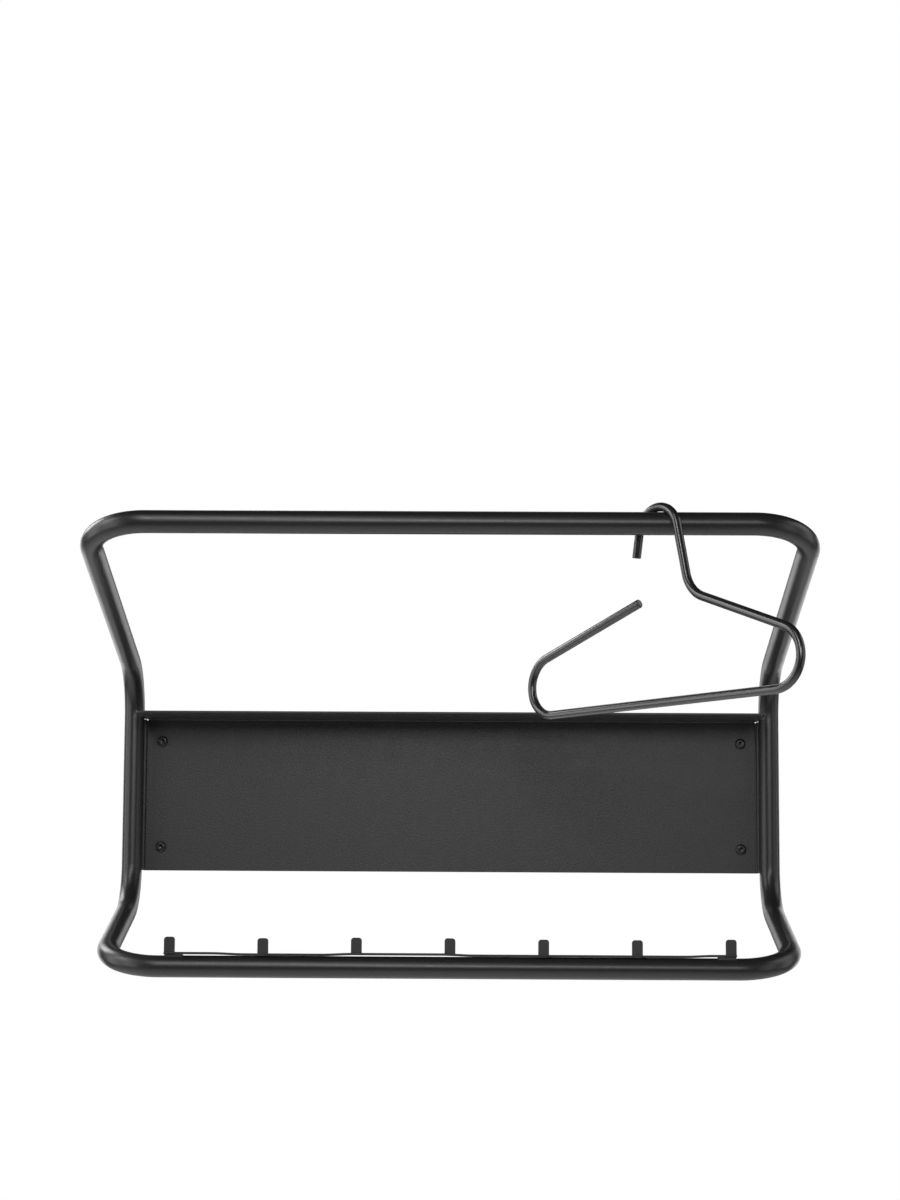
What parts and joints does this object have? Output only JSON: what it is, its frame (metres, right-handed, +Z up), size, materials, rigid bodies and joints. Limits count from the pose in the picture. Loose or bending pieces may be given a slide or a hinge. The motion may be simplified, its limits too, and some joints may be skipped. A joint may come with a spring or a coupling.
{
  "type": "wall coat rack",
  "caption": "Wall-mounted coat rack of bent steel tube: a hanger rail, a folded back panel with a narrow shelf, a strip of upright hooks on the lower rail and a sliding rod hanger.",
  "frame": {"origin": "centre of the back panel's rear face, on the wall's plane", "axes": "+X along the rails to the right as seen from the room, -Y out from the wall into the room, +Z up"},
  "size_m": [0.717, 0.5283, 0.4505],
  "materials": {
    "frame_powder_coat": "satin black powder coat, fine grain",
    "panel_powder_coat": "matt charcoal powder coat, fine grain",
    "strip_powder_coat": "matt black powder coat, fine grain",
    "hanger_powder_coat": "smooth satin black powder coat",
    "screw_black": "satin black coated steel",
    "bare_steel": "plain drawn steel, hidden in the tube"
  },
  "bodies": {
    "rack": {"upper_frame_tube": "frame_powder_coat", "lower_frame_tube": "frame_powder_coat", "left_joint_sleeve": "bare_steel", "right_joint_sleeve": "bare_steel", "back_panel": "panel_powder_coat", "wall_screw_1": "screw_black", "wall_screw_2": "screw_black", "wall_screw_3": "screw_black", "wall_screw_4": "screw_black", "hook_strip": "strip_powder_coat", "strip_foot_left": "strip_powder_coat", "strip_foot_right": "strip_powder_coat"},
    "hanger": {"hanger_rod": "hanger_powder_coat"}
  },
  "joints": [
    {"name": "hanger_slide", "type": "slide", "parent": "rack", "child": "hanger", "axis": [1, 0, 0], "range_m": [-0.455, 0.06]}
  ]
}
